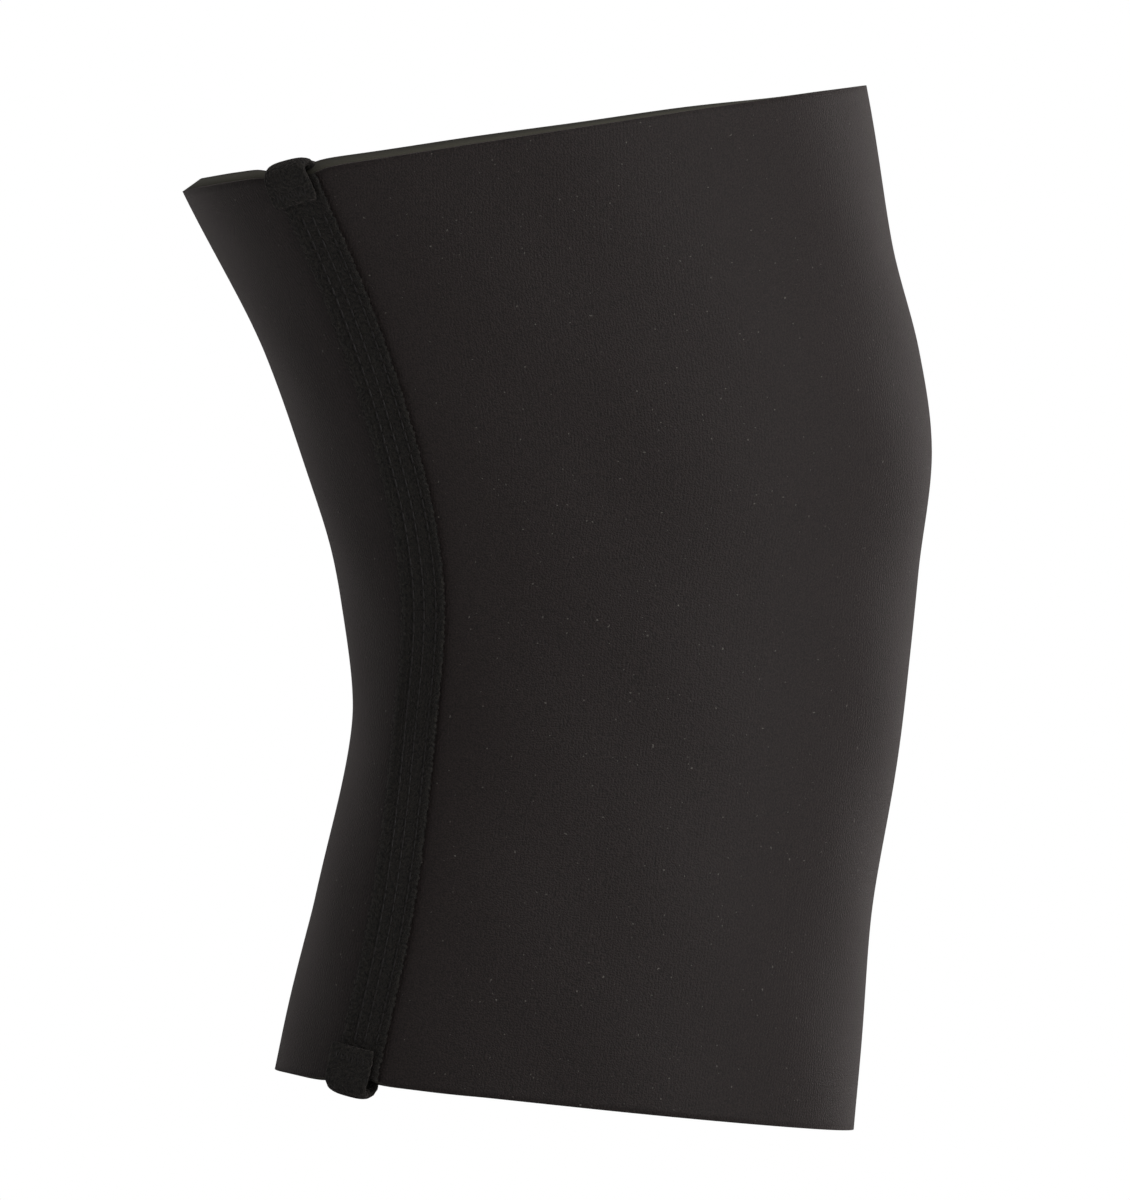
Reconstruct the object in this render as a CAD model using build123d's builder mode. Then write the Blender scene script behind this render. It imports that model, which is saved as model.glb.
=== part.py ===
"""Pull-on knee sleeve: two panels of faced foam rubber sheet, joined by two taped side seams.

The kneecap points to +X, the leg runs up +Z, and the sleeve is the same on both sides of Y = 0.
It stands on the front of its lower rim and on the two lower end tabs, at Z = 0. Sizes are in millimetres.

Every ply is the space between two copies of one outer face, each inset by a different depth, and is then
cut to its panel by shapes drawn in the side view. A knee line splits each long piece in three, so that
the thigh part can turn on the calf part: a height share t runs from 0 at the lower rim to 1 at the upper.
"""

import math
import os

from build123d import *

# Side view. Each rim runs from a back point to a front point.
lower_rim_front = Vector(86.7, 0, 0.8)
lower_rim_back = Vector(-53.0, 0, 4.1)
front_length = 249.9
back_length = 208.0

# Outline of the outer face: (height share, distance), forward and back of X = 0, and half the width.
front_reach = [(0, 86.7), (0.2, 87.0), (0.4, 90.6), (0.54, 91.0), (0.65, 92.4), (0.75, 87.2), (0.85, 79.0)]
front_reach += [(1, 69.2)]
back_reach = [(0, 53.0), (0.2, 47.0), (0.4, 41.4), (0.55, 46.3), (0.7, 57.8), (0.85, 72.8), (1, 92.0)]
half_width = [(0, 55.0), (0.2, 56.5), (0.42, 53.0), (0.6, 53.5), (0.8, 59.0), (0.9, 63.0), (1, 69.0)]
front_roundness = 2.15  # power of the superellipse: 2 is an ellipse, and more is squarer
back_roundness = 2.6

# Plies of the sheet, from the outside in.
knit_thickness = 0.5
foam_thickness = 4.0
lining_thickness = 0.5

# Seams: (height share, share of the depth from the back).
seam_place = [(0, 0.140), (0.2, 0.143), (0.4, 0.116), (0.55, 0.142), (0.75, 0.154), (1, 0.164)]
tape_width = 10.6  # across the side view, which sees the tape at a slant
tape_thickness = 1.0
tape_end_gap = 0.8  # the tape stops this far short of the rim

# End tabs, each a short tape folded over a rim.
tab_width = 12.0
tab_thickness = 1.0
tab_drop = 8.5  # how far each leg of the fold reaches from the rim
tab_crown = 2.9  # how far the fold stands past the rim
notch_width = 13.4
notch_depth = 0.5

# Threads.
thread_radius = 0.15
thread_gap = 0.03  # between a thread and the face it lies on
needle_rows = (-0.40, -0.14, 0.12, 0.38)  # places across the tape, in tape widths
stitch_pitch = 3.2
stitch_length = 2.3
cover_width = 7.0  # width of the zigzag that the seam shows inside
bartack_stitches = 7
bartack_length = 8.0
bartack_height = 5.6  # distance of the bartack from the rim

# Knee line and how the plies are cut there.
calf_end = 0.25
thigh_start = 0.75

stations = 11
points_round = 20
overrun = 0.07  # the lofts run this share of the height past each rim, and are cut back
reach = 120.0  # longer than the sleeve is wide, for cutting shapes
past = 0.25  # height share by which a cutting shape clears the rims

ply_depths = {
    "knit": (0, knit_thickness),
    "foam": (knit_thickness, knit_thickness + foam_thickness),
    "lining": (knit_thickness + foam_thickness, knit_thickness + foam_thickness + lining_thickness),
}
wall = knit_thickness + foam_thickness + lining_thickness
tab_half = (wall + tape_thickness) / 2 + tab_thickness
sections = {"calf": (0, calf_end), "knee": (calf_end, thigh_start), "thigh": (thigh_start, 1)}


def along(knots, t):
    """Value at t on a smooth curve through (t, value) knots, straight beyond the first and last."""
    slopes = []
    for i in range(len(knots)):
        before, after = knots[max(i - 1, 0)], knots[min(i + 1, len(knots) - 1)]
        slopes.append((after[1] - before[1]) / (after[0] - before[0]))
    if t <= knots[0][0]:
        return knots[0][1] + (t - knots[0][0]) * slopes[0]
    if t >= knots[-1][0]:
        return knots[-1][1] + (t - knots[-1][0]) * slopes[-1]
    i = max(n for n in range(len(knots) - 1) if knots[n][0] <= t)
    span = knots[i + 1][0] - knots[i][0]
    u = (t - knots[i][0]) / span
    start, end = knots[i][1], knots[i + 1][1]
    return (
        start * (1 - u) ** 2 * (1 + 2 * u)
        + end * u**2 * (3 - 2 * u)
        + span * (slopes[i] * u * (1 - u) ** 2 - slopes[i + 1] * u**2 * (1 - u))
    )


def front_point(t):
    return Vector(along(front_reach, t), 0, lower_rim_front.Z + front_length * t)


def back_point(t):
    return Vector(-along(back_reach, t), 0, lower_rim_back.Z + back_length * t)


def section_plane(t):
    """Plane across the leg at height share t: local X runs to the front, local Y to the side."""
    front, back = front_point(t), back_point(t)
    forward = (front - back).normalized()
    return Plane(origin=(front + back) / 2, x_dir=forward, z_dir=forward.cross(Vector(0, 1, 0)))


def outline_point(t, angle, inset):
    """Local (x, y) on the section at height share t, turned by angle from the front."""
    depth = (front_point(t) - back_point(t)).length / 2 - inset
    width = along(half_width, t) - inset
    power = 2 / (front_roundness if math.cos(angle) >= 0 else back_roundness)
    x = math.copysign(abs(math.cos(angle)) ** power, math.cos(angle))
    y = math.copysign(abs(math.sin(angle)) ** power, math.sin(angle))
    return depth * x, width * y


def face_point(t, depth_share, inset, side=1):
    """Point of the face inset from the outer one, at a share of the depth from the back, on one side."""
    plane = section_plane(t)
    depth = (front_point(t) - back_point(t)).length / 2
    x = depth * (2 * depth_share - 1)
    power = front_roundness if x >= 0 else back_roundness
    y = (along(half_width, t) - inset) * (1 - min(1, abs(x / (depth - inset))) ** power) ** (1 / power)
    return plane.origin + plane.x_dir * x + Vector(0, side * y, 0)


def envelope(inset):
    """Solid inside the outer face, inset by that much, running past both rims."""
    with BuildPart() as body:
        for n in range(stations):
            t = -overrun + (1 + 2 * overrun) * n / (stations - 1)
            with BuildSketch(section_plane(t)):
                with BuildLine():
                    angles = [2 * math.pi * k / points_round for k in range(points_round)]
                    Spline(*[outline_point(t, angle, inset) for angle in angles], periodic=True)
                make_face()
        loft()
    return body.part


def side_prism(points):
    """The straight-sided shape drawn through points in the side view, right through the sleeve."""
    with BuildPart() as prism:
        with BuildSketch(Plane.XZ):
            with BuildLine():
                Polyline(*[(p.X, p.Z) for p in points], close=True)
            make_face()
        extrude(amount=reach, both=True)
    return prism.part


def slab(start, end):
    """Everything between the cross sections at two height shares."""
    low, high = section_plane(start), section_plane(end)
    return side_prism(
        [
            low.origin - low.x_dir * reach,
            low.origin + low.x_dir * reach,
            high.origin + high.x_dir * reach,
            high.origin - high.x_dir * reach,
        ]
    )


def seam_point(t, offset=0):
    """Point of the seam in the side view, moved across it by offset."""
    plane = section_plane(t)
    depth = (front_point(t) - back_point(t)).length
    return plane.origin + plane.x_dir * (depth * (along(seam_place, t) - 0.5) + offset)


def seam_band(left, right):
    """Prism along the seam in the side view, between two offsets from it."""
    shares = [-past + (1 + 2 * past) * n / stations for n in range(stations + 1)]
    with BuildPart() as band:
        with BuildSketch(Plane.XZ):
            with BuildLine():
                up = Spline(*[(p.X, p.Z) for p in (seam_point(t, left) for t in shares)])
                down = Spline(*[(p.X, p.Z) for p in (seam_point(t, right) for t in reversed(shares))])
                Line(up @ 1, down @ 0)
                Line(down @ 1, up @ 0)
            make_face()
        extrude(amount=reach, both=True)
    return band.part


def side_half(side):
    """Everything on one side of Y = 0."""
    with BuildPart() as half:
        with Locations((0, side * reach, front_length / 2)):
            Box(6 * reach, 2 * reach, 6 * reach)
    return half.part


def share_of(distance):
    """Height share that a distance along the seam stands for."""
    return distance / (seam_point(1) - seam_point(0)).length


def seam_place_frame(t, offset, inset, side):
    """Plane on the face with that inset, near the seam: local X faces outward, local Y runs up the leg."""
    depth = (front_point(t) - back_point(t)).length
    share = along(seam_place, t) + offset / depth
    here = face_point(t, share, inset, side)
    up = face_point(t + 0.01, along(seam_place, t + 0.01) + offset / depth, inset, side) - here
    across = face_point(t, share + 0.01, inset, side) - here
    outward = up.cross(across).normalized() * side
    up = up.normalized()
    return Plane(origin=here, x_dir=outward, z_dir=outward.cross(up))


def cut(shape, *tools):
    """What a shape shares with every tool."""
    with BuildPart() as piece:
        add(shape)
        for tool in tools:
            add(tool, mode=Mode.INTERSECT)
    return piece.part


def less(shape, *tools):
    """A shape without the tools."""
    with BuildPart() as piece:
        add(shape)
        for tool in tools:
            add(tool, mode=Mode.SUBTRACT)
    return piece.part


def bar_between(start, end):
    """A straight length of thread."""
    with BuildPart() as bar:
        with BuildSketch(Plane(origin=start, z_dir=end - start)):
            Circle(thread_radius)
        extrude(amount=(end - start).length)
    return bar.part


def gathered(pieces):
    """Many separate solids as one part."""
    with BuildPart() as group:
        add(pieces)
    return group.part


def save(shape, name):
    shape.label = name
    export_step(shape, f"parts/{name}.step")


def fold_plane(end, side):
    """Plane across a rim at a seam, end 0 below and 1 above: local X outward, local Y into the sleeve."""
    spot = seam_place_frame(end, 0, (wall - tape_thickness) / 2, side)
    return Plane(origin=spot.origin, x_dir=spot.x_dir, z_dir=spot.z_dir * (1 if end == 0 else -1))


def folded_tab(end, side):
    """Short tape folded over the rim, its legs thick enough to meet the curved faces they lie on."""
    folds = (
        (tab_half, tab_crown, Mode.ADD),
        (tab_half - 1.6 * tab_thickness, tab_crown - tab_thickness, Mode.SUBTRACT),
    )
    with BuildPart() as tab:
        for half, crown, mode in folds:
            with BuildSketch(fold_plane(end, side)):
                with BuildLine():
                    EllipticalCenterArc((0, 0), half, crown, start_angle=180, arc_size=180)
                    Polyline((half, 0), (half, tab_drop), (-half, tab_drop), (-half, 0))
                make_face()
            extrude(amount=tab_width / 2, both=True, mode=mode)
    return tab.part


os.makedirs("parts", exist_ok=True)

sides = {"left": 1, "right": -1}
halves = {name: side_half(side) for name, side in sides.items()}
depths = sorted({depth for pair in ply_depths.values() for depth in pair})
faces = {depth: envelope(depth) for depth in [-tape_thickness] + depths}
panels = {"front": seam_band(0, 2 * reach), "back": seam_band(-2 * reach, 0)}
slabs = {name: slab(*span) for name, span in sections.items()}

# Each tab sits in a shallow notch, where its stitching pinches the rim.
notch_band = seam_band(-notch_width / 2, notch_width / 2)
notches = {
    "calf": cut(slab(-past, share_of(notch_depth)), notch_band),
    "thigh": cut(slab(1 - share_of(notch_depth), 1 + past), notch_band),
}

for ply, (outer, inner) in ply_depths.items():
    sheet = less(faces[outer], faces[inner])
    for section, zone in slabs.items():
        ring = cut(sheet, zone)
        if section in notches:
            ring = less(ring, notches[section])
        for panel, region in panels.items():
            save(cut(ring, region), f"{panel}_{ply}_{section}")

# Tape over each seam, short of both rims.
tape_strip = cut(
    less(faces[-tape_thickness], faces[0]),
    seam_band(-tape_width / 2, tape_width / 2),
    slab(share_of(tape_end_gap), 1 - share_of(tape_end_gap)),
)
for section, zone in slabs.items():
    for name, half in halves.items():
        save(cut(tape_strip, zone, half), f"{name}_tape_{section}")

# Tabs folded over the sheet and the tape on it. Bartacks show on them as a row of short stitches.
clear_notch = share_of(notch_depth - 0.1)
folded_over = cut(less(faces[-tape_thickness], faces[wall]), slab(clear_notch, 1 - clear_notch))
for end, section in ((0, "calf"), (1, "thigh")):
    for name, side in sides.items():
        tab = less(folded_tab(end, 1), folded_over)
        if side < 0:
            tab = mirror(tab, about=Plane.XZ)
        save(tab, f"{name}_tab_{section}")
        plane = fold_plane(end, side)
        stitches = []
        for n in range(bartack_stitches):
            place = bartack_length * (n / (bartack_stitches - 1) - 0.5)
            x = tab_half + thread_gap + thread_radius
            low, high = bartack_height - stitch_length / 2, bartack_height + stitch_length / 2
            ends = [plane.from_local_coords(Vector(x, y, place)) for y in (low, high)]
            stitches.append(bar_between(*ends))
        save(gathered(stitches), f"{name}_bartack_{section}")

# Needle threads show as rows of stitches on the tape, and the cover threads zigzag between them inside.
seam_length = (seam_point(1) - seam_point(0)).length
clear_of_tab = share_of(tab_drop + 1.0)
for section, (low, high) in sections.items():
    low, high = max(low, clear_of_tab), min(high, 1 - clear_of_tab)
    steps = int((high - low) * seam_length / stitch_pitch)
    shares = [low + (high - low) * (n + 0.5) / steps for n in range(steps)]
    for name, side in sides.items():
        stitches = []
        for t in shares:
            for row in needle_rows:
                inset = -tape_thickness - thread_gap - thread_radius
                spot = seam_place_frame(t, row * tape_width, inset, side)
                half_stitch = spot.y_dir * (stitch_length / 2)
                stitches.append(bar_between(spot.origin - half_stitch, spot.origin + half_stitch))
        save(gathered(stitches), f"{name}_needle_thread_{section}")

        crossings = []
        rise = share_of(stitch_pitch / 2)
        for t in shares[::2]:
            inset = wall + thread_gap + thread_radius
            near = seam_place_frame(t - rise, -cover_width / 2, inset, side).origin
            far = seam_place_frame(t + rise, cover_width / 2, inset, side).origin
            crossings.append(bar_between(near, far))
        save(gathered(crossings), f"{name}_cover_thread_{section}")
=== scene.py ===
import math

import bmesh
import bpy
import numpy as np
from mathutils import Matrix, Vector


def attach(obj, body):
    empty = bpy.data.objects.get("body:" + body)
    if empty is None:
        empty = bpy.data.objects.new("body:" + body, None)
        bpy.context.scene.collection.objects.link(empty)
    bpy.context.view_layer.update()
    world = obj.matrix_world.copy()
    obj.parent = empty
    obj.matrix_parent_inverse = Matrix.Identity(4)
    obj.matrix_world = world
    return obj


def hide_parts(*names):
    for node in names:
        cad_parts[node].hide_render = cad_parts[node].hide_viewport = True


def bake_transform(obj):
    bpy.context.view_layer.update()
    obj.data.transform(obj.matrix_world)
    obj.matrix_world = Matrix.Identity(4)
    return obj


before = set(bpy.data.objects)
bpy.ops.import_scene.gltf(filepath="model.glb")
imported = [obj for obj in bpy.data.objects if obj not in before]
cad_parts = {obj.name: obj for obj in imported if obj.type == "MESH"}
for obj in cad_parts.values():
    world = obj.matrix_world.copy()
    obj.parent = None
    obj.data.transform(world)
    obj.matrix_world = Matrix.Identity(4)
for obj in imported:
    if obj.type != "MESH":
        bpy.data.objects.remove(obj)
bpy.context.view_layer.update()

# Metres. t is the height share, from 0 at the lower rim to 1 at the upper.
legShape = {
    "rimHeights": (0.0008, 0.0041),  # lower rim at the front and at the back
    "frontLength": 0.2499,
    "backLength": 0.2080,
    "frontReach": [(0, 0.0867), (0.2, 0.0870), (0.4, 0.0906), (0.54, 0.0910),
                   (0.65, 0.0924), (0.75, 0.0872), (0.85, 0.0790), (1, 0.0692)],
    "backReach": [(0, 0.0530), (0.2, 0.0470), (0.4, 0.0414), (0.55, 0.0463),
                  (0.7, 0.0578), (0.85, 0.0728), (1, 0.0920)],
    "halfWidth": [(0, 0.0550), (0.2, 0.0565), (0.42, 0.0530), (0.6, 0.0535),
                  (0.8, 0.0590), (0.9, 0.0630), (1, 0.0690)],
    "frontRoundness": 2.15,  # 2 is an ellipse, and more is squarer
    "backRoundness": 2.6,
    "seamPlace": [(0, 0.140), (0.2, 0.143), (0.4, 0.116), (0.55, 0.142), (0.75, 0.154), (1, 0.164)],
}
sheetUpTheLeg = 0.24  # length of the cloth that the knit pattern is laid out on
seamLength = 0.235


# Value at t on a smooth curve through (t, value) knots, straight beyond its ends.
def along(knots, t):
    slopes = []
    for i in range(len(knots)):
        before, after = knots[max(i - 1, 0)], knots[min(i + 1, len(knots) - 1)]
        slopes.append((after[1] - before[1]) / (after[0] - before[0]))
    if t <= knots[0][0]:
        return knots[0][1] + (t - knots[0][0]) * slopes[0]
    if t >= knots[-1][0]:
        return knots[-1][1] + (t - knots[-1][0]) * slopes[-1]
    i = max(n for n in range(len(knots) - 1) if knots[n][0] <= t)
    span = knots[i + 1][0] - knots[i][0]
    u = (t - knots[i][0]) / span
    blendIn = u * u * (3 - 2 * u)
    bow = slopes[i] * u * (1 - u) ** 2 - slopes[i + 1] * u * u * (1 - u)
    return knots[i][1] * (1 - blendIn) + knots[i + 1][1] * blendIn + span * bow


# Centre, forward direction, half depth and half width of the section at t.
def crossSection(t):
    frontHeight = legShape["rimHeights"][0] + legShape["frontLength"] * t
    backHeight = legShape["rimHeights"][1] + legShape["backLength"] * t
    front = np.array([along(legShape["frontReach"], t), 0, frontHeight])
    back = np.array([-along(legShape["backReach"], t), 0, backHeight])
    depth = np.linalg.norm(front - back)
    return (front + back) / 2, (front - back) / depth, depth / 2, along(legShape["halfWidth"], t)


# Point of the face with that inset, at a share of the depth from the back.
def facePoint(t, place, inset, side):
    centre, forward, depth, width = crossSection(t)
    x = depth * (2 * place - 1)
    power = legShape["frontRoundness"] if x >= 0 else legShape["backRoundness"]
    y = (width - inset) * (1 - min(1, abs(x / (depth - inset))) ** power) ** (1 / power)
    return centre + forward * x + np.array([0, side * y, 0])


# Point near the seam, and the directions outward, up the leg and across the seam.
def seamFrame(t, offset, inset, side):
    depth = 2 * crossSection(t)[2]
    place = along(legShape["seamPlace"], t) + offset / depth
    here = facePoint(t, place, inset, side)
    up = facePoint(t + 0.01, along(legShape["seamPlace"], t + 0.01) + offset / depth, inset, side) - here
    across = facePoint(t, place + 0.01, inset, side) - here
    up /= np.linalg.norm(up)
    outward = np.cross(up, across) * side
    outward /= np.linalg.norm(outward)
    return here, outward, up, np.cross(outward, up) * side


# A polyline respaced evenly, and the distances along it.
def evenly(points, count):
    steps = np.linalg.norm(np.diff(points, axis=0), axis=1)
    distance = np.concatenate([[0], np.cumsum(steps)])
    wanted = np.linspace(0, distance[-1], count)
    columns = [np.interp(wanted, distance, points[:, k]) for k in range(points.shape[1])]
    return np.stack(columns, axis=1), wanted


def meshPiece(name, vertices, faces, uvs, material):
    mesh = bpy.data.meshes.new(name)
    mesh.from_pydata([tuple(v) for v in vertices], [], faces)
    layer = mesh.uv_layers.new(name="sheetUv")
    loops = np.empty(len(mesh.loops), int)
    mesh.loops.foreach_get("vertex_index", loops)
    layer.data.foreach_set("uv", np.asarray(uvs, np.float32)[loops].ravel())
    mesh.polygons.foreach_set("use_smooth", [True] * len(mesh.polygons))
    mesh.materials.append(material)
    shell = bmesh.new()
    shell.from_mesh(mesh)
    bmesh.ops.recalc_face_normals(shell, faces=shell.faces)
    shell.to_mesh(mesh)
    shell.free()
    piece = bpy.data.objects.new(name, mesh)
    bpy.context.collection.objects.link(piece)
    return piece


# Faces of an open-ended tube of rows, each a ring of points.
def ribbonFaces(rows, ring):
    faces = []
    for i in range(rows - 1):
        for j in range(ring):
            k = (j + 1) % ring
            faces.append((i * ring + j, i * ring + k, (i + 1) * ring + k, (i + 1) * ring + j))
    return faces


# Shader maths: a socket that can be added, multiplied and so on.
class Wire:
    def __init__(self, tree, socket):
        self.tree = tree
        self.socket = socket

    def maths(self, operation, *others):
        node = addNode(self.tree, "ShaderNodeMath", {"operation": operation})
        for i, value in enumerate((self,) + others):
            if isinstance(value, Wire):
                self.tree.links.new(value.socket, node.inputs[i])
            else:
                node.inputs[i].default_value = value
        return Wire(self.tree, node.outputs[0])

    def __add__(self, other):
        return self.maths("ADD", other)

    def __sub__(self, other):
        return self.maths("SUBTRACT", other)

    def __mul__(self, other):
        return self.maths("MULTIPLY", other)

    __radd__ = __add__
    __rmul__ = __mul__

    def wave(self, pitch):
        return (self * (2 * math.pi / pitch)).maths("SINE") * 0.5 + 0.5

    def sharpened(self):
        contrast, middle = 3.4, 0.36
        return ((self - middle) * contrast).maths("MINIMUM", 1.0).maths("MAXIMUM", 0.0)


# Settings are set first. Then sockets are filled by name, their spaces left out.
def addNode(tree, kind, settings=None, **inputs):
    node = tree.nodes.new(kind)
    for key, value in (settings or {}).items():
        setattr(node, key, value)
    for socket in node.inputs:
        value = inputs.get(socket.name.replace(" ", ""))
        if isinstance(value, Wire):
            value = value.socket
        if isinstance(value, bpy.types.NodeSocket):
            tree.links.new(value, socket)
        elif value is not None:
            socket.default_value = value
    return node


clothFinish = {
    "Specular IOR Level": 0.35,
    "Sheen Roughness": 0.45,
    "Sheen Tint": (1.0, 0.84, 0.80, 1),
}


def newMaterial(name, colour, roughness, sheen):
    material = bpy.data.materials.new(name)
    material.use_nodes = True
    tree = material.node_tree
    shader = tree.nodes["Principled BSDF"]
    shader.inputs["Base Color"].default_value = (*colour, 1)
    shader.inputs["Roughness"].default_value = roughness
    shader.inputs["Sheen Weight"].default_value = sheen
    for socket, value in clothFinish.items():
        shader.inputs[socket].default_value = value
    return material, tree, shader


# Metres across and along the cloth.
def uvWires(tree):
    uv = addNode(tree, "ShaderNodeUVMap", {"uv_map": "sheetUv"})
    split = addNode(tree, "ShaderNodeSeparateXYZ", Vector=uv.outputs[0])
    return Wire(tree, split.outputs[0]), Wire(tree, split.outputs[1])


def noiseWire(tree, scale, detail=2.0):
    place = addNode(tree, "ShaderNodeTexCoord").outputs["Object"]
    noise = addNode(tree, "ShaderNodeTexNoise", Vector=place, Scale=scale, Detail=detail)
    return Wire(tree, noise.outputs[0])


def addBump(tree, shader, height, distance):
    bump = addNode(tree, "ShaderNodeBump", Height=height, Distance=distance, Strength=1.0)
    tree.links.new(bump.outputs[0], shader.inputs["Normal"])


def mixColours(tree, factor, *colours):
    mix = addNode(tree, "ShaderNodeMix", {"data_type": "RGBA"})
    tree.links.new(factor.socket, mix.inputs[0])
    for index, colour in zip((6, 7), colours):
        if isinstance(colour, tuple):
            mix.inputs[index].default_value = (*colour, 1)
        else:
            tree.links.new(colour, mix.inputs[index])
    return mix.outputs[2]


knitLook = {
    "colour": (0.0075, 0.0047, 0.0044),
    "grain": (0.0250, 0.0170, 0.0160),
    "lint": (0.12, 0.11, 0.10),
    "lintRarity": 0.845,
    "roughness": 0.62,
    "sheen": 0.16,
    "walePitch": 0.00085,
    "coursePitch": 0.00065,
    "wobble": 0.0004,
    "noiseScales": {"wobble": 900.0, "grain": 2600.0, "swell": 60.0, "lint": 1500.0},
    "heights": {"wales": 0.35, "courses": 0.15, "grain": 1.2, "swell": 1.5},
    "relief": 0.00006,
}


# Jersey knit: upright wales crossed by finer courses, grainy, with a few specks of lint.
def knitMaterial(name, look):
    material, tree, shader = newMaterial(name, look["colour"], look["roughness"], look["sheen"])
    scales, heights = look["noiseScales"], look["heights"]
    across, up = uvWires(tree)
    wobble = noiseWire(tree, scales["wobble"]) * look["wobble"]
    wales = (across + wobble).wave(look["walePitch"])
    courses = (up + wobble).wave(look["coursePitch"])
    grain = noiseWire(tree, scales["grain"]).sharpened()
    height = wales * heights["wales"] + courses * heights["courses"] + grain * heights["grain"]
    height = height + noiseWire(tree, scales["swell"]) * heights["swell"]
    addBump(tree, shader, height, look["relief"])
    lint = noiseWire(tree, scales["lint"], 0.0).maths("GREATER_THAN", look["lintRarity"])
    shade = mixColours(tree, grain, look["colour"], look["grain"])
    tree.links.new(mixColours(tree, lint, shade, look["lint"]), shader.inputs["Base Color"])
    return material


foamLook = {
    "colour": (0.105, 0.098, 0.076),
    "pore": (0.050, 0.047, 0.036),
    "roughness": 0.85,
    "poreScale": 2500.0,
    "relief": 0.0001,
}


def foamMaterial(look):
    material, tree, shader = newMaterial("foam", look["colour"], look["roughness"], 0.0)
    pores = noiseWire(tree, look["poreScale"])
    tree.links.new(mixColours(tree, pores, look["pore"], look["colour"]), shader.inputs["Base Color"])
    addBump(tree, shader, pores, look["relief"])
    return material


tapeLook = {
    "colour": (0.0030, 0.0026, 0.0021),
    "fuzz": (0.0170, 0.0148, 0.0115),
    "roughness": 0.8,
    "sheen": 0.10,
    "ribPitch": 0.0011,
    "loopPitch": 0.0016,
    "loopSlant": 0.6,
    "wobble": 0.0006,
    "noiseScales": {"wobble": 500.0, "fuzz": 1500.0},
    "heights": {"ribs": 0.45, "loops": 0.4, "fuzz": 1.3},
    "relief": 0.00025,
}


# Knitted tape: ribs along it, each a chain of short slanted loops, under a fuzzy face.
def tapeMaterial(name, look):
    material, tree, shader = newMaterial(name, look["colour"], look["roughness"], look["sheen"])
    scales, heights = look["noiseScales"], look["heights"]
    across, up = uvWires(tree)
    wobble = noiseWire(tree, scales["wobble"]) * look["wobble"]
    ribs = (across + wobble).wave(look["ribPitch"])
    loops = (up + across * look["loopSlant"] + wobble).wave(look["loopPitch"])
    fuzz = noiseWire(tree, scales["fuzz"], 3.0).sharpened()
    height = ribs * heights["ribs"] + loops * heights["loops"] + fuzz * heights["fuzz"]
    addBump(tree, shader, height, look["relief"])
    tree.links.new(mixColours(tree, fuzz, look["colour"], look["fuzz"]), shader.inputs["Base Color"])
    return material


threadLook = {"colour": (0.012, 0.010, 0.010), "roughness": 0.55, "sheen": 0.1}
threadMaterial = newMaterial("thread", **threadLook)[0]
outerKnit = knitMaterial("outerKnit", knitLook)
liningLook = {**knitLook, "colour": (0.016, 0.013, 0.013)}
liningKnit = knitMaterial("liningKnit", liningLook)
foam = foamMaterial(foamLook)
tapeCloth = tapeMaterial("tapeCloth", tapeLook)
print("materials made")

# The two panels, each of three plies bonded together.
panelLook = {
    "rows": 150,
    "columns": {"front": 230, "back": 90},
    "samples": 900,  # points of a section before it is respaced
    "plies": {
        "Knit": (0.0, 0.0005, outerKnit),
        "Foam": (0.0005, 0.0045, foam),
        "Lining": (0.0045, 0.005, liningKnit),
    },
    "rimSlant": 1.5,  # how far the cut leans, against one square to the sheet
    "squeeze": 0.45,  # share of the thickness that a tab's stitching takes away
    "squeezeReach": (0.0075, 0.010),  # across from the seam, and in from the rim
    "pinchDepth": 0.0022,  # how far a tab pulls the rim in
    "pinchReach": 0.0065,
    "rimRows": 9,  # rows over which the rim's shape fades out
    "steepestLean": 0.33,
    "seamDip": 0.0006,  # depth of the furrow that the seam lies in
    "dipReach": 0.006,
    "ripple": 0.00035,
    "rippleStart": 0.02,  # how far from the seam the ripple is at its full height
    "flat": {
        "frontKnit": (0.306, 0.245),
        "backKnit": (0.112, 0.213),
        "frontLining": (0.292, 0.245),
        "backLining": (0.095, 0.213),
    },
}
nodeNames = {"Knit": "knit", "Foam": "foam", "Lining": "lining"}


def toEdge(distance):
    return np.minimum(distance, distance[-1] - distance)


def outwardFrom(centre, points):
    reach = points - centre
    return reach / np.linalg.norm(reach, axis=1)[:, None]


def seamDip(distance):
    return panelLook["seamDip"] * np.exp(-((distance / panelLook["dipReach"]) ** 2))


# Points of one panel's share of a section from seam to seam, and the distance along it.
def outline(t, panel, inset, count):
    centre, forward, depth, width = crossSection(t)
    x = depth * (2 * along(legShape["seamPlace"], t) - 1)
    ratio = min(1, abs(x) / (depth - inset))
    corner = math.acos(-(ratio ** (legShape["backRoundness"] / 2)))
    low, high = (-corner, corner) if panel == "front" else (corner, 2 * math.pi - corner)
    angles = np.linspace(low, high, panelLook["samples"])
    c, s = np.cos(angles), np.sin(angles)
    power = np.where(c >= 0, 2 / legShape["frontRoundness"], 2 / legShape["backRoundness"])
    x = np.sign(c) * np.abs(c) ** power * (depth - inset)
    y = np.sign(s) * np.abs(s) ** power * (width - inset)
    flat, distance = evenly(np.stack([x, y], 1), count)
    points = centre + flat[:, :1] * forward + flat[:, 1:] * np.array([[0, 1, 0]])
    fromRim = min(t, 1 - t) * seamLength
    acrossReach, rimReach = panelLook["squeezeReach"]
    squeeze = panelLook["squeeze"] * np.exp(-((toEdge(distance) / acrossReach) ** 2))
    squeeze = squeeze * math.exp(-((fromRim / rimReach) ** 2))
    return points + outwardFrom(centre, points) * (inset * squeeze)[:, None], distance


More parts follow.
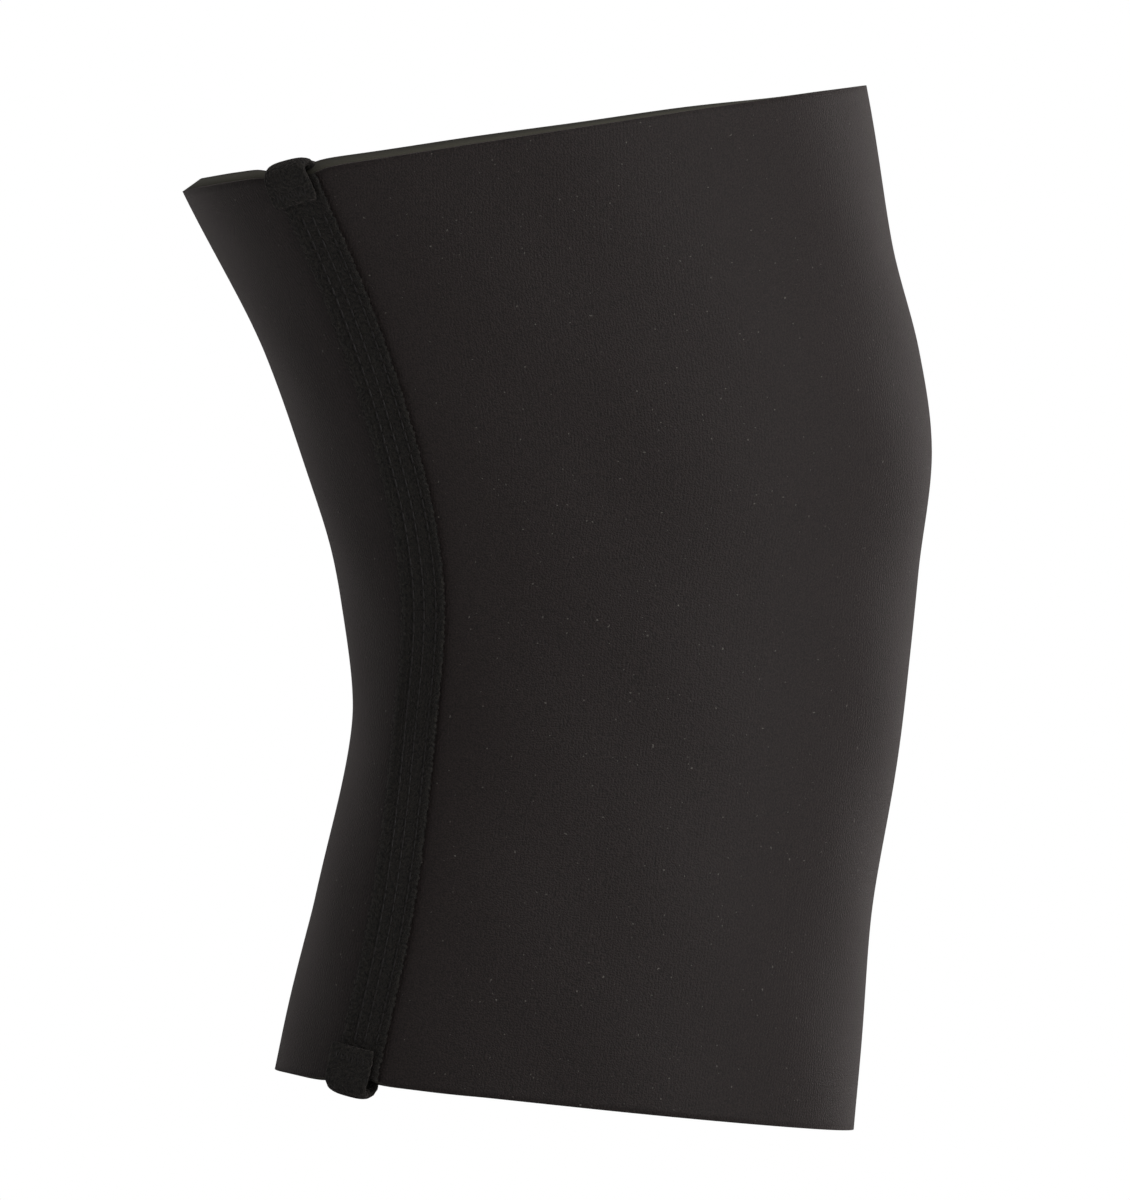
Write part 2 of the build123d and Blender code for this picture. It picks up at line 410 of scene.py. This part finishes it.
# Grid of points over one face of a ply, and the metres across and along it.
def panelFace(panel, inset):
    rows, columns = panelLook["rows"], panelLook["columns"][panel]
    grid = np.empty((rows, columns, 3))
    uv = np.empty((rows, columns, 2))
    for i in range(rows):
        t = i / (rows - 1)
        here, distance = outline(t, panel, inset, columns)
        toSeam = toEdge(distance)
        uv[i, :, 0] = distance - distance[-1] / 2
        uv[i, :, 1] = t * sheetUpTheLeg
        wave = np.sin(uv[i, :, 0] * 95 + 9 * t) * np.sin(t * 21 + uv[i, :, 0] * 30)
        swell = wave * panelLook["ripple"] * np.clip(toSeam / panelLook["rippleStart"], 0, 1)
        lift = swell - seamDip(toSeam)
        grid[i] = here + outwardFrom(crossSection(t)[0], here) * lift[:, None]
    # Each rim is cut on a slant, and pulled in where the tabs are.
    steepest = panelLook["steepestLean"]
    for row, other, sign in ((0, 3, -1), (rows - 1, rows - 4, 1)):
        step = grid[row] - grid[other]
        up = step / np.linalg.norm(step, axis=1)[:, None]
        outward = outwardFrom(crossSection(row / (rows - 1))[0], grid[row])
        lean = np.clip((up * outward).sum(axis=1), -steepest, steepest)
        toSeam = toEdge(uv[row, :, 0] - uv[row, 0, 0])
        pinch = panelLook["pinchDepth"] * np.exp(-((toSeam / panelLook["pinchReach"]) ** 2))
        shift = panelLook["rimSlant"] * np.clip(inset * lean, 0, None) - pinch
        for k, share in enumerate(np.linspace(1, 0, panelLook["rimRows"])):
            grid[row - sign * k] += up * (shift * share)[:, None]
    return grid, uv


def makePanelPly(panel, ply):
    outer, inner, material = panelLook["plies"][ply]
    outerGrid, outerUv = panelFace(panel, outer)
    innerGrid, innerUv = panelFace(panel, inner)
    rows, columns = outerGrid.shape[:2]
    ring = 2 * columns
    vertices = np.concatenate([outerGrid, innerGrid[:, ::-1]], axis=1).reshape(-1, 3)
    uvs = np.concatenate([outerUv, innerUv[:, ::-1]], axis=1).reshape(-1, 2)
    faces = ribbonFaces(rows, ring)
    for i in (0, rows - 1):
        base = i * ring
        for j in range(columns - 1):
            face = (base + j, base + j + 1, base + ring - 2 - j, base + ring - 1 - j)
            faces.append(face[::-1] if i == 0 else face)
    piece = meshPiece(panel + ply, vertices, faces, uvs, material)
    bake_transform(piece)
    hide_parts(*[f"{panel}_{nodeNames[ply]}_{part}" for part in ("calf", "knee", "thigh")])
    return piece


for panel in ("front", "back"):
    for ply in panelLook["plies"]:
        piece = makePanelPly(panel, ply)
        if ply == "Foam":
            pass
        else:
            panelLook["flat"][panel + ply]
print("panels made")

# Tape over each seam, with a thick looped edge.
tapeSpec = {
    "width": 0.0106,
    "thickness": 0.0010,
    "edge": 0.0004,  # how much thicker its looped edges are
    "edgeStart": 0.42,  # share of the width, from the middle
    "edgeTop": 0.49,
    "sunk": 0.0004,  # how far its back lies in the knit
    "fray": ((0.00018, 2.1), (0.00010, 0.73)),  # height and beat of the edge's two waves
    "margin": 0.004,  # height share left bare at each rim
    "points": 15,
    "rows": 420,
    "flat": (0.0127, 0.234),
}
sides = {"left": 1, "right": -1}


def makeTape(name, side):
    width, thickness = tapeSpec["width"], tapeSpec["thickness"]
    places = np.linspace(-0.5, 0.5, tapeSpec["points"])
    vertices, uvs = [], []
    for i in range(tapeSpec["rows"]):
        t = tapeSpec["margin"] + (1 - 2 * tapeSpec["margin"]) * i / (tapeSpec["rows"] - 1)
        fray = sum(height * math.sin(i * beat) for height, beat in tapeSpec["fray"])
        for outer in (True, False):
            for place in places if outer else places[::-1]:
                edge = abs(place) > tapeSpec["edgeStart"]
                rounding = 1 if abs(place) < tapeSpec["edgeTop"] else 0.2
                lift = thickness + (tapeSpec["edge"] if edge else 0) * rounding
                inset = -lift if outer else tapeSpec["sunk"]
                offset = place * width + (fray if edge else 0) * np.sign(place)
                vertices.append(seamFrame(t, offset, inset + seamDip(offset), side)[0])
                uvs.append((place * tapeSpec["flat"][0], t * seamLength))
    ring = 2 * len(places)
    faces = ribbonFaces(tapeSpec["rows"], ring)
    last = (tapeSpec["rows"] - 1) * ring
    faces.append(tuple(range(ring))[::-1])
    faces.append(tuple(range(last, last + ring)))
    if side > 0:
        faces = [face[::-1] for face in faces]
    tape = meshPiece(name + "Tape", vertices, faces, uvs, tapeCloth)
    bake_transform(tape)
    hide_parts(*[f"{name}_tape_{part}" for part in ("calf", "knee", "thigh")])


for name, side in sides.items():
    makeTape(name, side)
print("tapes made")

# End tabs, each a short tape folded over the rim.
tabSpec = {
    "width": 0.0125,
    "thickness": 0.0011,
    "drops": (0.0085, 0.0068),  # how far its legs reach in from the lower and upper rim
    "crown": 0.0036,  # how far the fold stands out from the rim
    "bulge": 0.0028,  # its thickness at the fold
    "bulgeReach": 0.0042,
    "half": 0.0024,  # from the middle of the wall to each leg
    "depth": 0.002,  # where the middle is taken, in from the outer face
    "shift": 0.0011,
    "hem": 0.94,  # share of the width at the two cut ends
    "legSteps": 12,
    "foldSteps": 17,
    "points": 28,
    "flat": (0.0125, 0.0262),
}


# As seamFrame at a rim, but its third value points in from the rim.
def foldFrame(end, side):
    here, outward, up, across = seamFrame(end, 0, tabSpec["depth"], side)
    return here, outward, up * (1 if end == 0 else -1), across


def makeTab(name, side, end):
    here, outward, inward, across = foldFrame(end, side)
    half, drop, steps = tabSpec["half"], tabSpec["drops"][end], tabSpec["legSteps"]
    crown = tabSpec["crown"] - tabSpec["bulge"] / 2
    fold = np.linspace(0, math.pi, tabSpec["foldSteps"])
    path = [(half + 0.0001, drop - k * drop / steps) for k in range(steps)]
    path += [(half * math.cos(a), -crown * math.sin(a)) for a in fold]
    path += [(-half, k * drop / steps) for k in range(1, steps + 1)]
    path = np.array(path)
    slopes = np.gradient(path, axis=0)
    slopes /= np.linalg.norm(slopes, axis=1)[:, None]
    lengths = np.linalg.norm(np.diff(path, axis=0), axis=1)
    travelled = np.concatenate([[0], np.cumsum(lengths)])
    vertices, uvs = [], []
    loop = np.linspace(0, 2 * math.pi, tabSpec["points"], endpoint=False)
    for i, (spot, slope) in enumerate(zip(path, slopes)):
        hem = 1 if 1 < i < len(path) - 2 else tabSpec["hem"]
        fromFold = travelled[i] - travelled[-1] / 2
        fullness = math.exp(-((fromFold / tabSpec["bulgeReach"]) ** 2))
        thickness = tabSpec["thickness"] + (tabSpec["bulge"] - tabSpec["thickness"]) * fullness
        width = tabSpec["width"] * hem * (1 - 0.10 * fullness + 0.015 * math.sin(i * 1.9))
        for a in loop:
            c, s = math.cos(a), math.sin(a)
            wide = math.copysign(abs(c) ** (0.35 + 0.35 * fullness), c) * width / 2
            thick = math.copysign(abs(s) ** (0.5 + 0.4 * fullness), s) * thickness / 2
            x = tabSpec["shift"] + spot[0] + slope[1] * thick
            y = spot[1] - slope[0] * thick
            vertices.append(here + outward * x + inward * y + across * wide)
            uvs.append((wide, travelled[i]))
    ring = len(loop)
    faces = ribbonFaces(len(path), ring)
    last = (len(path) - 1) * ring
    faces += [tuple(range(ring))[::-1], tuple(range(last, last + ring))]
    body = "calf" if end == 0 else "thigh"
    tab = meshPiece(f"{name}Tab{body.capitalize()}", vertices, faces, uvs, tapeCloth)
    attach(tab, body)
    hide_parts(f"{name}_tab_{body}")


for name, side in sides.items():
    for end in (0, 1):
        makeTab(name, side, end)
print("tabs made")

# Threads: one stitch at each point, turned along its own direction.
stitchSpec = {
    "radius": 0.00021,
    "length": 0.0025,
    "pitch": 0.0031,
    "margin": 0.045,  # height share without stitches at each rim
    "rows": (-0.44, -0.20, 0.03, 0.30),  # across the tape, as shares of its width
    "needleInset": -0.00105,
    "coverInset": 0.0051,
    "coverLength": 0.0072,
    "coverStep": 0.003,
    "coverLean": 0.35,
}
bartackSpec = {
    "count": 11,
    "length": 0.0026,
    "lift": 0.00405,
    "inward": (0.0056, 0.0042),  # in from the lower and the upper rim
    "spread": 0.008,
    "lean": 0.25,
}


def stitchTree():
    tree = bpy.data.node_groups.new("stitches", "GeometryNodeTree")
    tree.interface.new_socket("Geometry", in_out="INPUT", socket_type="NodeSocketGeometry")
    for label in ("Thread radius", "Stitch length"):
        tree.interface.new_socket(label, in_out="INPUT", socket_type="NodeSocketFloat")
    tree.interface.new_socket("Thread material", in_out="INPUT", socket_type="NodeSocketMaterial")
    tree.interface.new_socket("Geometry", in_out="OUTPUT", socket_type="NodeSocketGeometry")
    start = addNode(tree, "NodeGroupInput").outputs
    radius = start["Thread radius"]
    halfLength = Wire(tree, start["Stitch length"]) * 0.5
    ball = addNode(tree, "GeometryNodeMeshUVSphere", Segments=8, Rings=6, Radius=1.0)
    shape = addNode(tree, "ShaderNodeCombineXYZ", X=radius, Y=radius, Z=halfLength)
    vector = {"data_type": "FLOAT_VECTOR"}
    direction = addNode(tree, "GeometryNodeInputNamedAttribute", vector, Name="direction")
    upright = direction.outputs["Attribute"]
    turn = addNode(tree, "FunctionNodeAlignRotationToVector", {"axis": "Z"}, Vector=upright)
    scatter = addNode(
        tree,
        "GeometryNodeInstanceOnPoints",
        Points=start["Geometry"],
        Instance=ball.outputs["Mesh"],
        Rotation=turn.outputs["Rotation"],
        Scale=shape.outputs[0],
    )
    solid = addNode(tree, "GeometryNodeRealizeInstances", Geometry=scatter.outputs[0])
    paint = {"Geometry": solid.outputs[0], "Material": start["Thread material"]}
    painted = addNode(tree, "GeometryNodeSetMaterial", **paint)
    addNode(tree, "NodeGroupOutput", Geometry=painted.outputs[0])
    return tree


stitches = stitchTree()


def makeStitches(name, sites, directions, length):
    mesh = bpy.data.meshes.new(name + "Sites")
    mesh.from_pydata([tuple(p) for p in sites], [], [])
    layer = mesh.attributes.new("direction", "FLOAT_VECTOR", "POINT")
    layer.data.foreach_set("vector", np.ravel(directions))
    holder = bpy.data.objects.new(name + "Sites", mesh)
    bpy.context.collection.objects.link(holder)
    modifier = holder.modifiers.new("stitches", "NODES")
    modifier.node_group = stitches
    values = {
        "Thread radius": stitchSpec["radius"],
        "Stitch length": length,
        "Thread material": threadMaterial,
    }
    for item in stitches.interface.items_tree:
        if item.in_out == "INPUT" and item.name in values:
            modifier[item.identifier] = values[item.name]
    graph = bpy.context.evaluated_depsgraph_get()
    made = bpy.data.meshes.new_from_object(holder.evaluated_get(graph))
    made.name = name
    bpy.data.objects.remove(holder)
    piece = bpy.data.objects.new(name, made)
    bpy.context.collection.objects.link(piece)
    made.polygons.foreach_set("use_smooth", [True] * len(made.polygons))
    return piece


# Needle threads in rows on the tape, and the cover thread zigzagging inside.
def makeSeamThreads(name, side):
    count = int(seamLength / stitchSpec["pitch"])
    margin, step = stitchSpec["margin"], stitchSpec["coverStep"]
    needle, needleWays, cover, coverWays = [], [], [], []
    for n in range(count):
        t = margin + (1 - 2 * margin) * (n + 0.5) / count
        for row in stitchSpec["rows"]:
            offset = row * tapeSpec["width"]
            inset = stitchSpec["needleInset"] + seamDip(offset)
            here, outward, up, across = seamFrame(t, offset, inset, side)
            needle.append(here)
            needleWays.append(up)
        for lean in (-1, 1):
            inset = stitchSpec["coverInset"]
            here, outward, up, across = seamFrame(t + lean * step, 0, inset, side)
            cover.append(here)
            coverWays.append(across + up * lean * stitchSpec["coverLean"])
    thread = makeStitches(name + "NeedleThread", needle, needleWays, stitchSpec["length"])
    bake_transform(thread)
    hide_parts(*[f"{name}_needle_thread_{part}" for part in ("calf", "knee", "thigh")])
    thread = makeStitches(name + "CoverThread", cover, coverWays, stitchSpec["coverLength"])
    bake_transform(thread)
    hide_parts(*[f"{name}_cover_thread_{part}" for part in ("calf", "knee", "thigh")])


def makeBartack(name, side, end, body):
    here, outward, inward, across = foldFrame(end, side)
    middle = here + outward * bartackSpec["lift"] + inward * bartackSpec["inward"][end]
    count, lean = bartackSpec["count"], bartackSpec["lean"]
    shares = [k / (count - 1) - 0.5 for k in range(count)]
    spots = [middle + across * bartackSpec["spread"] * share for share in shares]
    ways = [inward + across * (lean if k % 2 else -lean) for k in range(count)]
    thread = makeStitches(f"{name}Bartack{body.capitalize()}", spots, ways, bartackSpec["length"])
    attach(thread, body)
    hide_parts(f"{name}_bartack_{body}")


for name, side in sides.items():
    makeSeamThreads(name, side)
    for end, body in enumerate(("calf", "thigh")):
        makeBartack(name, side, end, body)
print("threads made")

# Floor, light and camera.
studio = {
    "floor": (0.9, 0.9, 0.9),
    "floorSize": 8,
    "floorHeight": -0.0005,
    "worldLight": 0.15,
    "lampTarget": (0, 0, 0.125),
    "target": (0.0073, 0, 0.1218),
    "distance": 6.0,
    "elevation": 0.7,
    "roll": 4.65,
    "visibleHeight": 0.288,
}


# The camera sees one shader, and light meets the other.
def splitByRay(tree, lit, seen, output):
    path = addNode(tree, "ShaderNodeLightPath")
    mix = addNode(tree, "ShaderNodeMixShader")
    tree.links.new(path.outputs["Is Camera Ray"], mix.inputs[0])
    tree.links.new(lit.outputs[0], mix.inputs[1])
    tree.links.new(seen.outputs[0], mix.inputs[2])
    tree.links.new(mix.outputs[0], tree.nodes[output].inputs[0])


bpy.ops.mesh.primitive_plane_add(size=studio["floorSize"], location=(0, 0, studio["floorHeight"]))
floor = bpy.context.object
floor.name = "floor"
floorMaterial = bpy.data.materials.new("floor")
floorMaterial.use_nodes = True
tree = floorMaterial.node_tree
paint = tree.nodes["Principled BSDF"]
paint.inputs["Base Color"].default_value = (*studio["floor"], 1)
paint.inputs["Roughness"].default_value = 1.0
splitByRay(tree, paint, addNode(tree, "ShaderNodeEmission"), "Material Output")
floor.data.materials.append(floorMaterial)

world = bpy.data.worlds.new("studio")
bpy.context.scene.world = world
world.use_nodes = True
tree = world.node_tree
white = (1, 1, 1, 1)
light = tree.nodes["Background"]
light.inputs["Color"].default_value = white
light.inputs["Strength"].default_value = studio["worldLight"]
splitByRay(tree, light, addNode(tree, "ShaderNodeBackground", Color=white), "World Output")


def addLamp(name, azimuth, elevation, distance, size, power):
    a, e = math.radians(azimuth), math.radians(elevation)
    aim = Vector(studio["lampTarget"])
    way = Vector((math.sin(a) * math.cos(e), -math.cos(a) * math.cos(e), math.sin(e)))
    spot = aim + distance * way
    data = bpy.data.lights.new(name, "AREA")
    data.shape = "RECTANGLE"
    data.size, data.size_y = size
    data.energy = power
    lamp = bpy.data.objects.new(name, data)
    bpy.context.collection.objects.link(lamp)
    lamp.location = spot
    lamp.rotation_euler = (aim - spot).to_track_quat("-Z", "Y").to_euler()


# Degrees round from the camera's side, degrees up, metres away, size and watts.
lamps = {
    "key": (42, 12, 1.4, (0.35, 1.2), 10),
    "leftEdge": (-128, 10, 1.3, (0.6, 1.2), 0.5),
    "rightEdge": (128, 10, 1.3, (0.6, 1.2), 3),
    "top": (0, 75, 1.5, (1.0, 1.0), 4),
}
for name, values in lamps.items():
    addLamp(name, *values)

lens = bpy.data.cameras.new("camera")
camera = bpy.data.objects.new("camera", lens)
bpy.context.collection.objects.link(camera)
bpy.context.scene.camera = camera
lens.lens = 36 * studio["distance"] / studio["visibleHeight"]
lens.clip_start, lens.clip_end = 0.5, 50
elevation = math.radians(studio["elevation"])
target = Vector(studio["target"])
away = Vector((0, -math.cos(elevation), math.sin(elevation)))
camera.location = target + studio["distance"] * away
aim = (target - camera.location).to_track_quat("-Z", "Y").to_matrix()
camera.rotation_euler = (aim @ Matrix.Rotation(math.radians(studio["roll"]), 3, "Z")).to_euler()
bpy.context.scene.view_settings.view_transform = "Standard"
